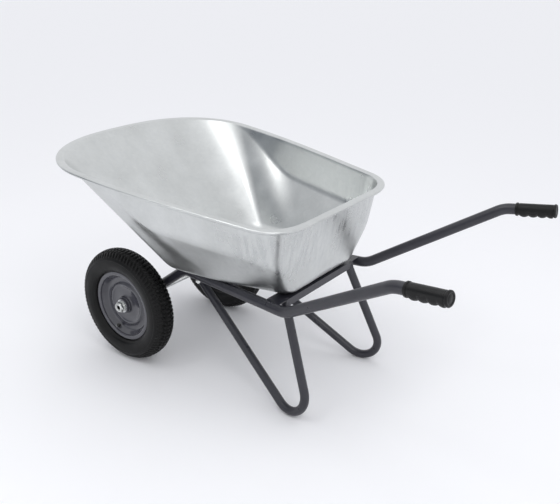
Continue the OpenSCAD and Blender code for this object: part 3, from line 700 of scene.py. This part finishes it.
@dataclass
class TubeFrame:
    """Two bent rails, two looped legs, a cross angle, a cross tube and the axle sleeves."""
    rail_d: float = 30.0
    leg_d: float = 25.0
    cross_d: float = 25.0
    sleeve_d: float = 30.0
    sleeve_len: float = 40.0
    axle_z: float = 180.0
    rail_z: float = 320.0
    rail_y: float = 152.0
    bend_x: float = -190.0
    rise: tuple = (-599.0, 208.0)
    handle: tuple = (-962.0, 313.0, 537.0)
    handle_len: float = 136.0
    turn: float = 6.7
    tilt: float = 6.2
    rail_bend: float = 80.0
    foot_bend: float = 58.0
    foot: tuple = (-718.0, 221.0)
    angle_x: float = -575.0
    angle_w: float = 48.0
    angle_t: float = 3.0
    cross_x: float = -162.0
    leg_rear_y: float = 157.0
    leg_front_y: float = 93.0

    @property
    def handle_dir(self) -> np.ndarray:
        """Direction of the left handle's end."""
        turn, tilt = math.radians(self.turn), math.radians(self.tilt)
        flat = math.cos(tilt)
        return np.array([-flat * math.cos(turn), flat * math.sin(turn), math.sin(tilt)])

    @property
    def rail_corners(self) -> list:
        """Corners of the left rail's middle line."""
        handle = np.array(self.handle)
        return [np.array([0.0, self.rail_y, self.axle_z]),
                np.array([self.bend_x, self.rail_y + 2, self.rail_z]),
                np.array([self.rise[0], self.rise[1], self.rail_z]), handle,
                handle + self.handle_len * self.handle_dir]

    @property
    def cross_z(self) -> float:
        """Height of the front cross tube, on the rails' sloping front run."""
        return mix(self.axle_z, self.rail_z, self.cross_x / self.bend_x)

    def leg_corners(self) -> list:
        """Corners of the left leg's middle line, with the foot just standing on the ground."""
        rear = np.array([self.angle_x + self.angle_t + self.leg_d / 2, self.leg_rear_y,
                         self.rail_z + self.rail_d / 2 - self.angle_t])
        front = np.array([self.cross_x, self.leg_front_y, self.cross_z])
        apex = np.array([*self.foot, -80.0])
        for _ in range(12):
            low = fillet_path([rear, apex, front], self.foot_bend, 90)[:, 2].min()
            apex = apex + UP * (self.leg_d / 2 - low)
        return [rear, apex, front]

    def rail(self, side: Side) -> None:
        """One rail, from the sleeve to the end of the handle."""
        corners = self.rail_corners
        towards = unit(corners[1] - corners[0])
        corners[0] = corners[0] + towards * (self.sleeve_d / 2 - 2.0)
        path = mirrored(fillet_path(corners, self.rail_bend, 22), side)
        tube(path, self.rail_d / 2, 48, ACROSS).piece(
            f"{side.word}_rail_tube", BODY, FRAME_PAINT, "powder_coat", (f"{side.word}_rail",))

    def leg(self, side: Side) -> None:
        """One leg loop, from under the cross angle round the foot to the cross tube."""
        rear, apex, front = self.leg_corners()
        front = front - unit(front - apex) * (self.cross_d / 2 - 2.0)
        path = mirrored(fillet_path([rear, apex, front], self.foot_bend, 34), side)
        ref = mirrored(unit(np.cross(rear - apex, front - apex)), side)
        tube(path, self.leg_d / 2, 44, ref).piece(
            f"{side.word}_leg_tube", BODY, FRAME_PAINT, "powder_coat", (f"{side.word}_leg",))

    def cross_tube(self) -> None:
        """The front cross tube, let into the rails."""
        end = self.rail_y - self.rail_d / 2 + 3.0
        middle = np.array([self.cross_x, 0.0, self.cross_z])
        path = middle + np.outer(np.linspace(-end, end, 9), ACROSS)
        tube(path, self.cross_d / 2, 44, UP).piece(
            "front_cross_bar", BODY, FRAME_PAINT, "powder_coat", ("front_cross_tube",))

    def sleeve(self, side: Side) -> None:
        """An axle sleeve with its ends chamfered."""
        r, bore, half, cut = self.sleeve_d / 2, 10.05, self.sleeve_len / 2, 1.2
        outline = np.array([[bore, -half], [r - cut, -half], [r, -half + cut], [r, half - cut],
                            [r - cut, half], [bore, half]])
        foot = np.array([0.0, side.value * self.rail_y, self.axle_z])
        standing(lathe(outline, 48), foot, ACROSS).piece(
            f"{side.word}_sleeve", BODY, FRAME_PAINT, "powder_coat", (f"{side.word}_axle_sleeve",))

    def welds(self, side: Side) -> None:
        """The beads where this side's tubes meet the sleeve, the cross tube and the angle."""
        weld = Weld()
        corners = self.rail_corners
        down = unit(corners[0] - corners[1])
        rear, apex, front = self.leg_corners()
        up_front, up_rear = unit(front - apex), unit(rear - apex)
        cross = np.array([self.cross_x, 0.0, self.cross_z])
        rail_axis = unit(corners[1] - corners[0])
        beads = [
            weld.round_bar(corners[1], down, self.rail_d / 2,
                           to_cylinder(down, corners[0], ACROSS, self.sleeve_d / 2)),
            weld.round_bar(apex, up_front, self.leg_d / 2,
                           to_cylinder(up_front, cross, ACROSS, self.cross_d / 2)),
            weld.round_bar(apex, up_rear, self.leg_d / 2,
                           to_plane(up_rear, self.rail_z + self.rail_d / 2 - self.angle_t)),
            weld.round_bar(cross, ACROSS, self.cross_d / 2,
                           to_cylinder(ACROSS, corners[0], rail_axis, self.rail_d / 2)),
            self.angle_seam(weld)]
        for number, bead in enumerate(beads, 1):
            bead.points = mirrored(bead.points, side)
            bead.piece(f"{side.word}_weld_{number}", BODY, FRAME_PAINT, "powder_coat", (), 80.0)

    def angle_seam(self, weld: Weld) -> Shape:
        """The bead along the rail where the cross angle's level flange meets it underneath."""
        t = np.linspace(0.04, 0.96, 60)[:, None]
        drop = self.rail_d / 2 - self.angle_t
        reach = math.sqrt((self.rail_d / 2) ** 2 - drop ** 2)
        share = lambda x: (x - self.bend_x) / (self.rise[0] - self.bend_x)
        x = self.angle_x + t[:, 0] * self.angle_w
        y = mix(self.rail_y + 2, self.rise[1], share(x)) - reach
        path = np.column_stack([x, y, 0 * x + self.rail_z + drop])
        return weld.bead(path, UP, closed=False)

    def build(self) -> None:
        """Every piece of the frame on both sides."""
        for side in Side:
            self.rail(side)
            self.leg(side)
            self.sleeve(side)
            self.welds(side)
        self.cross_tube()
        dress(FRAME_PAINT, "rear_cross_angle")


@dataclass
class Grip:
    """Moulded rubber grip: a collar, a smooth back, four finger rolls below and an end flange."""
    side: Side
    frame: TubeFrame
    length: float = 106.0
    radius: float = 17.0
    collar: float = 18.3
    end: float = 18.5
    wall: float = 3.0
    rolls: int = 4
    roll_mm: float = 4.6

    def build(self) -> None:
        """Outline (r, z) turned round the handle, with the rolls added where the angle points down.

        The rolls add roll_mm |cos| of the run along the grip, times the square of the
        share of the angle that points down, so that each fades out on the flanks.
        """
        n, r = self.length, self.radius
        corners = np.array([[15.1, 0.3], [self.collar - 0.8, 0.0], [self.collar, 1.2], [self.collar, 5.2],
                            [r - 0.6, 6.4], [r - 0.8, 8.5], [r, 10.0]])
        body = np.column_stack([np.full(70, r), np.linspace(12.0, n - 9.5, 70)])
        end = np.array([[r - 0.4, n - 8.0], [self.end - 0.6, n - 6.6], [self.end, n - 5.6],
                        [self.end, n - 1.8], [self.end - 1.6, n], [self.end - 4.4, n],
                        [self.end - 5.4, n - 1.3],
                        [self.end - 8.2, n - 1.5], [self.end - 9.4, n - 0.7], [0.4, n - 0.7]])
        outline = np.vstack([corners, body, end, [[0.4, n - self.wall], [15.1, n - self.wall]]])
        first, last = 20.0, n - 15.0

        def fingers(r: np.ndarray, z: np.ndarray, a: np.ndarray) -> tuple:
            """The four rolls on the underside."""
            inside = smooth(z, 9.0, 13.0) * (1.0 - smooth(z, n - 11.0, n - 7.5)) * (r > 16.0)
            pitch = (last - first) / (self.rolls - 1)
            wave = np.abs(np.sin(math.pi * (z - first + 10.0) / pitch)) ** 0.7
            below = np.clip(-np.cos(a) + 0.15, 0.0, 1.0) ** 1.2
            return r + (self.roll_mm * wave - 1.0) * below * inside, z

        foot = self.frame.rail_corners[4] + self.frame.handle_dir * (self.wall - n)
        shape = standing(lathe(outline, 72, fingers), foot, self.frame.handle_dir)
        shape.points = mirrored(shape.points, self.side)
        shape.piece(f"{self.side.word}_hand_grip", BODY, GRIP_RUBBER, "grip_rubber",
                    (f"{self.side.word}_grip",), 50.0)


# ---- hardware -------------------------------------------------------------------


def hexagon(across: float, height: float, bore: float, chamfer: float) -> Shape:
    """A hex nut: the hexagon's radius by angle, held inside a cone at each end.

    The flats lie at across / 2 / cos(angle from the nearest flat), and the chamfer
    limits the radius to a circle that shrinks towards the two faces.
    """
    levels = np.array([0.0, 0.35, 1.0]) * chamfer
    z = np.concatenate([levels, height - levels[::-1]])
    cap = across / 2 * np.array([0.985, 1.035, 1.2, 1.2, 1.035, 0.985])
    outer = np.column_stack([cap, z])
    outline = np.vstack([[[bore, 0.6], [bore + 0.6, 0.0]], outer,
                         [[bore + 0.6, height], [bore, height - 0.6]]])

    def flats(r: np.ndarray, z: np.ndarray, a: np.ndarray) -> tuple:
        """Cuts the round outline back to the six flats."""
        step = math.pi / 3
        off = np.mod(a + step / 2, step) - step / 2
        return np.minimum(r, across / 2 / np.cos(off)), z
    return lathe(outline, 96, flats)


def disc_ring(inner: float, outer: float, thickness: float, cut: float) -> Shape:
    """A washer with its edges chamfered by cut."""
    return lathe(np.array([[inner, cut], [inner + cut, 0.0], [outer - cut, 0.0], [outer, cut],
                           [outer, thickness - cut], [outer - cut, thickness],
                           [inner + cut, thickness], [inner, thickness - cut]]), 72)


@dataclass
class AxleSet:
    """The axle rod with its spacers, washers and nuts."""
    z: float = 180.0
    rod_r: float = 10.0
    hole_r: float = 7.2
    nut_across: float = 30.0
    nut_h: float = 12.0
    washer_r: float = 18.5
    washer_t: float = 3.0
    hub_out: float = 248.0
    play: float = 0.4
    end_y: float = 261.9
    spacer: tuple = (172.2, 197.4)

    def put(self, shape: Shape, side: Side, y: float, name: str, finish: Finish,
            nodes: tuple = ()) -> None:
        """Stands a turned shape on the axle, its +Z outwards, with its foot at y."""
        foot = np.array([0.0, side.value * y, self.z])
        standing(shape, foot, ACROSS * side.value).piece(
            f"{side.word}_{name}", BODY, finish, "zinc_plate", nodes, 30.0)

    def rod(self) -> None:
        """The rod: chamfered ends, each drilled out."""
        e, r = self.end_y, self.rod_r - 0.05
        hole = self.hole_r
        half = np.array([[r, e - 1.2], [r - 1.2, e], [hole + 0.6, e], [hole, e - 0.6], [hole, e - 11.0],
                         [0.3, e - 14.0]])
        outline = np.vstack([half[::-1] * [1, -1], half])
        rod = standing(lathe(outline, 56), np.array([0.0, 0.0, self.z]), ACROSS).piece(
            "axle_rod", BODY, ZINC, "zinc_plate", ("axle",), 30.0)
        # The faces inside each drilled end get the near-black painted shade
        rod.data.materials.append(PAINTED_HOLE_SHADE.material())
        middles = np.array([(f.center.x * 1000.0 - AXLE_X, f.center.z * 1000.0 - self.z)
                            for f in rod.data.polygons])
        inside = np.hypot(middles[:, 0], middles[:, 1]) < self.hole_r + 0.2
        rod.data.polygons.foreach_set("material_index", inside.astype(np.int32))

    def build(self) -> None:
        """The rod and what is on it at both ends."""
        self.rod()
        washer_y = self.hub_out + self.play
        for side in Side:
            nodes = ("axle_spacers", "axle_washers", "axle_nuts") if side is Side.LEFT else ()
            self.put(disc_ring(self.rod_r + 0.05, self.rod_r + 3.0, self.spacer[1] - self.spacer[0], 0.8),
                     side, self.spacer[0], "axle_spacer", ZINC, nodes[:1])
            self.put(disc_ring(self.rod_r + 0.05, self.washer_r, self.washer_t, 0.5),
                     side, washer_y, "axle_washer", ZINC, nodes[1:2])
            self.put(self.nut(), side, washer_y + self.washer_t, "axle_nut", ZINC, nodes[2:])

    def nut(self) -> Shape:
        """The nut: a hexagon with a domed collar over its locking ring."""
        body = hexagon(self.nut_across, 0.75 * self.nut_h, self.rod_r + 0.05, 1.6)
        r, low, high = self.nut_across / 2 - 1.0, 0.72 * self.nut_h, self.nut_h
        collar = lathe(np.array([[self.rod_r + 0.4, low], [r, low], [r, high - 1.6], [r - 0.6, high - 0.6],
                                 [r - 1.8, high], [self.rod_r + 1.4, high], [self.rod_r + 0.4, high - 1.0]]), 72)
        return body.joined(collar)


# ---- wheels ---------------------------------------------------------------------


@dataclass
class Wheel:
    """A pneumatic wheel: tyre, two pressed rim halves, hub with bearings, and the valve."""
    side: Side
    half_track: float = 223.0
    tyre_r: float = 180.0
    half_tyre: float = 40.0
    rim_r: float = 112.0
    half_rim: float = 25.0
    sheet: float = 1.8
    hub_r: float = 24.0
    hub_len: float = 50.0
    valve_deg: float = -66.0
    lugs: int = 84
    lug_steps: int = 8
    tread_depth: float = 5.0

    def put(self, shape: Shape, name: str, finish: Finish, slot: str, nodes: tuple = (),
            crease: float = 40.0) -> None:
        """Stands a shape, drawn round +Z outwards, in the wheel's place.

        The shape's +X points forward and its +Y up, so both wheels are mirror images.
        """
        x, y, z = shape.points.T
        points = np.column_stack([x, self.side.value * (z + self.half_track), y + self.tyre_r])
        Shape(points, shape.faces).piece(f"{self.side.word}_{name}", self.side.wheel, finish, slot,
                                         tuple(f"{self.side.word}_{n}" for n in nodes), crease)

    def carcass(self, r: float, z: float, wide: float, top: float, counts: tuple) -> np.ndarray:
        """Half a blown-up section from beside the rim to the middle of the tread.

        A quarter ellipse bulges from (r, z) to the widest place, and a quarter of a fuller
        curve, sine and cosine to the power 0.91, goes over the shoulder.
        """
        widest = mix(self.rim_r, self.tyre_r, 0.42)
        a = np.linspace(math.pi / 2, 0.0, counts[0], endpoint=False)
        low = np.column_stack([mix(widest, r, np.sin(a)), mix(z, wide, np.cos(a))])
        b = np.linspace(0.0, math.pi / 2, counts[1])
        full = 2.0 / 2.2
        high = np.column_stack([widest + (top - widest) * np.sin(b) ** full,
                                wide * np.maximum(0.0, np.cos(b)) ** full])
        return np.vstack([low, high])

    def tread(self, r: np.ndarray, z: np.ndarray, a: np.ndarray) -> tuple:
        """Cuts grooves into the crown and rings into the sidewall.

        Three rows of blocks on each side of the middle, each row half a pitch on from the
        last and leaning with |z|, end in shoulder lugs. A groove's depth is the smooth step
        of the distance from its middle. The sidewall has raised rings 0.5 mm high.
        """
        wide = np.abs(z)
        outer = r > self.rim_r + 14.0
        crown = smooth(r, self.tyre_r - 22.0, self.tyre_r - 11.0) * outer
        zigzag = 1.6 * np.sin(a * self.lugs / 2)
        row = (wide > 8.0 + zigzag).astype(float) + (wide > 20.0 - zigzag)
        slant = 0.045 * wide * np.where(row == 1, 1.0, -0.6)
        phase = np.mod(a * self.lugs / (2 * math.pi) + 0.5 * row + slant, 1.0)
        across = 1.0 - smooth(np.abs(phase - 0.5), 0.16, 0.26)
        rings = np.maximum(1.0 - smooth(np.abs(wide - 8.0 - zigzag), 0.8, 1.8),
                           1.0 - smooth(np.abs(wide - 20.0 + zigzag), 0.8, 1.8))
        groove = np.maximum(across, rings) * crown * self.tread_depth
        flank = (wide > 24.0) & (r < self.tyre_r - 18.0) & (r > self.rim_r + 4.0)
        ridge = 0.0 * r
        for at, width in ((self.rim_r + 7.0, 1.8), (self.rim_r + 11.5, 0.9), (self.tyre_r - 27.0, 1.0),
                          (self.tyre_r - 24.0, 1.0)):
            ridge = np.maximum(ridge, 1.0 - smooth(np.abs(r - at), 0.3 * width, width))
        scale = 1.0 - groove / np.maximum(r, 1.0)
        sides = np.where(flank, 1.0 - 0.026 * (1.0 - ridge), 1.0 - 0.25 * groove / self.tyre_r)
        return r * scale, z * sides

    def tyre(self) -> None:
        """The tyre, whose block tops lie on the carcass."""
        bead_z, bead_r = self.half_rim - self.sheet - 0.3, self.rim_r - 11.0 + 0.3
        out = np.vstack([[[bead_r, bead_z - 9.0], [bead_r, bead_z - 2.0], [bead_r + 4.0, bead_z]],
                         self.carcass(self.rim_r + 2.0, bead_z, self.half_tyre, self.tyre_r, (14, 46))])
        inn = np.vstack([[[bead_r + 8.0, bead_z - 9.0]],
                         self.carcass(self.rim_r + 1.0, bead_z - 5.0, self.half_tyre - 8.0,
                                      self.tyre_r - 10.0, (3, 7))])
        flip = lambda p: p[-2::-1] * [1.0, -1.0]
        outline = np.vstack([out, flip(out), inn * [1.0, -1.0], flip(inn * [1.0, -1.0])])
        self.put(lathe(outline, self.lugs * self.lug_steps, self.tread), "tyre_tread", TYRE_RUBBER,
                 "tyre", ("tyre",), 60.0)

    def rim_half(self, outward: bool) -> None:
        """A pressed disc: rounded steps from the hub out, offset by the sheet's thickness."""
        seat = self.rim_r - 11.0
        collar = self.hub_r + self.sheet + 0.1
        face = [[collar, 14.0], [collar, 9.0]] if outward else []
        face += [[self.hub_r + 4.5, 6.2], [44.0, 4.2], [56.0, 5.2], [61.0, 7.6], [66.0, 7.6], [71.0, 3.4],
                 [75.0, self.sheet + 0.1], [85.0, self.sheet + 0.1], [89.0, 4.4],
                 [seat - 4.0, self.half_rim - 9.0], [seat - self.sheet, self.half_rim - 6.0],
                 [seat - self.sheet, self.half_rim - 2.0], [seat + 1.0, self.half_rim],
                 [self.rim_r - 1.2, self.half_rim], [self.rim_r, self.half_rim - 0.8]]
        line = rounded(np.array(face), 3, closed=False)
        d = unit(np.gradient(line, axis=0))
        back = line + self.sheet * np.column_stack([d[:, 1], -d[:, 0]])
        outline = np.vstack([line, back[::-1]])
        if not outward:
            outline = outline * [1.0, -1.0]
        which = "outer" if outward else "inner"
        self.put(lathe(outline, 144), f"rim_{which}_disc", RIM_PAINT, "rim_paint",
                 (f"rim_{which}",), 45.0)

    def hub(self) -> None:
        """The hub tube: chamfered ends, and a bore stepped for the bearings."""
        r, half, deep = self.hub_r, self.hub_len / 2, 12.0
        seat, stop = r - 3.0, r - 5.5
        upper = np.array([[r, half - 0.8], [r - 0.8, half], [seat, half], [seat, half - deep],
                          [stop, half - deep]])
        outline = np.vstack([upper[::-1], upper * [1.0, -1.0]])
        self.put(lathe(outline, 72), "hub_tube", RIM_PAINT, "rim_paint", ("hub",))

    def seal(self) -> None:
        """The weld round the hub's collar, which joins hub and outer disc."""
        a = np.linspace(0.0, 2 * math.pi, 120, endpoint=False)
        r = self.hub_r + 1.0
        path = np.column_stack([r * np.cos(a), r * np.sin(a), 0 * a + 14.2])
        self.put(Weld(1.7, 3.0).bead(path, UP), "hub_weld", RIM_PAINT, "rim_paint", (), 80.0)

    def valve(self) -> None:
        """The valve: a rubber stem swelling to a collar in the rim, and a ribbed cap."""
        tilt = unit(np.array([-1.0, 0.8]))
        turn = math.radians(self.valve_deg)
        ray = np.array([math.cos(turn), math.sin(turn), 0.0])
        foot = ray * (self.rim_r - 14.0) + UP * 8.0
        axis = ray * tilt[0] + UP * tilt[1]
        stem = np.array([[0.3, -15.0], [3.8, -15.0], [3.8, 2.0], [5.6, 3.2], [6.6, 5.0], [5.6, 6.2],
                         [3.9, 6.9], [3.9, 13.0], [0.3, 13.0]])
        self.put(standing(lathe(rounded(stem, 1), 40), foot, axis, ray), "valve_body", TUBE_RUBBER,
                 "tube_rubber", ("valve_stem",))
        cap = np.array([[4.05, 7.2], [4.9, 7.0], [4.9, 15.2], [4.2, 16.6], [2.6, 17.0], [0.3, 17.0],
                        [0.3, 14.2], [4.05, 14.2]])
        ribs = lambda r, z, a: (r - 0.25 * (r > 4.5) * (np.cos(14 * a) < 0) * (z < 15.0), z)
        self.put(standing(lathe(cap, 84, ribs), foot, axis, ray), "valve_screw_cap", CAP_PLASTIC,
                 "cap_plastic", ("valve_cap",), 50.0)

    def build(self) -> None:
        """The whole wheel."""
        self.tyre()
        self.rim_half(True)
        self.rim_half(False)
        self.hub()
        self.seal()
        self.valve()
        dress(TUBE_RUBBER, f"{self.side.word}_inner_tube")
        dress(BALL_STEEL, f"{self.side.word}_bearings")


# ---- studio ---------------------------------------------------------------------


@dataclass
class Studio:
    """A pale floor, soft light and the camera."""
    eye: tuple = (-1619.0, 1587.8, 1196.3)
    azimuth: float = 216.9
    elevation: float = 22.3
    roll: float = -0.3
    lens: float = 47.3
    sky: str = "#F5F6F9"
    sky_strength: float = 1.04
    dim: str = "#525C69"
    dim_towards: tuple = (0.56, 0.83, -0.04)
    # Each softbox as (name, place, aim, size) in metres and its watts
    softboxes: tuple = (
        ("top_softbox", (0.35, 0.35, 2.6), (0.3, 0.0, 0.4), 0.75, 4.2),
        ("left_softbox", (0.42, 1.15, 2.3), (0.4, 0.25, 0.1), 0.35, 2.4),
        ("low_softbox", (0.9, 2.4, 0.6), (0.0, 0.0, 0.15), 1.2, 4.0),
        ("rear_softbox", (-1.6, 0.9, 2.4), (0.2, 0.1, 0.2), 0.9, 9.0))

    def floor(self) -> None:
        """A wide level floor."""
        far = 60.0
        mesh = bpy.data.meshes.new("floor")
        corners = [(-far, -far, 0), (far, -far, 0), (far, far, 0), (-far, far, 0)]
        mesh.from_pydata(corners, [], [(0, 1, 2, 3)])
        mesh.materials.append(FLOOR_PAPER.material())
        obj = bpy.data.objects.new("floor", mesh)
        bpy.context.scene.collection.objects.link(obj)

    def light(self, name: str, place: tuple, aim: tuple, size: float, watts: float) -> None:
        """A square white softbox of that size at place, facing aim, all in metres."""
        lamp = bpy.data.lights.new(name, "AREA")
        lamp.size, lamp.energy = size, watts
        obj = bpy.data.objects.new(name, lamp)
        z = unit(np.array(place, float) - np.array(aim, float))
        x = unit(np.cross(UP if abs(z[2]) < 0.99 else ACROSS, z))
        self.place(obj, np.stack([x, np.cross(z, x), z], axis=1), place)

    def place(self, obj: bpy.types.Object, turn: np.ndarray, at: tuple) -> None:
        """Links an object and sets where it stands and how it is turned."""
        matrix = np.eye(4)
        matrix[:3, :3], matrix[:3, 3] = turn, at
        bpy.context.scene.collection.objects.link(obj)
        obj.matrix_world = Matrix(matrix.tolist())

    def camera(self) -> None:
        """The camera, from its azimuth, elevation and roll."""
        az, el, roll = (math.radians(v) for v in (self.azimuth, self.elevation, self.roll))
        back = np.array([math.sin(az) * math.cos(el), -math.cos(az) * math.cos(el), math.sin(el)])
        level = unit(np.cross(UP, back))
        up = np.cross(back, level)
        right = math.cos(roll) * level + math.sin(roll) * up
        data = bpy.data.cameras.new("camera")
        data.lens, data.sensor_width, data.clip_end = self.lens, 36.0, 200.0
        obj = bpy.data.objects.new("camera", data)
        turn = np.stack([right, np.cross(back, right), back], axis=1)
        self.place(obj, turn, tuple(to_frame(np.array(self.eye))))
        bpy.context.scene.camera = obj

    def world(self) -> None:
        """An even, slightly cool sky, dimmer low down in front of the barrow's left side."""
        world = bpy.data.worlds.new("studio")
        world.use_nodes = True
        tree = world.node_tree
        back = tree.nodes["Background"]
        way = add(tree, "ShaderNodeTexCoord").outputs["Generated"]
        facing = add(tree, "ShaderNodeVectorMath", {0: way, 1: self.dim_towards},
                     operation="DOT_PRODUCT").outputs["Value"]
        share = add(tree, "ShaderNodeMapRange", {"Value": facing, "From Min": 0.64, "From Max": 0.98},
                    interpolation_type="SMOOTHSTEP").outputs["Result"]
        blend = add(tree, "ShaderNodeMix", data_type="RGBA")
        tree.links.new(share, blend.inputs["Factor"])
        blend.inputs["A"].default_value, blend.inputs["B"].default_value = linear(self.sky), linear(self.dim)
        tree.links.new(blend.outputs["Result"], back.inputs["Color"])
        back.inputs["Strength"].default_value = self.sky_strength
        bpy.context.scene.world = world

    def build(self) -> None:
        """Everything that isn't the barrow."""
        bpy.context.scene.view_settings.view_transform = "Standard"
        self.camera()
        self.world()
        self.floor()
        for softbox in self.softboxes:
            self.light(*softbox)


def main() -> None:
    """Builds the barrow from the camera out."""
    logging.basicConfig(level=logging.INFO, format="%(message)s")
    Studio().build()
    Pan().build()
    tubes = TubeFrame()
    tubes.build()
    for side in Side:
        Grip(side, tubes).build()
        Wheel(side).build()
    AxleSet().build()
    dress(ZINC, "pan_bolts", "pan_washers", "pan_nuts")


if __name__ == "__main__":
    main()
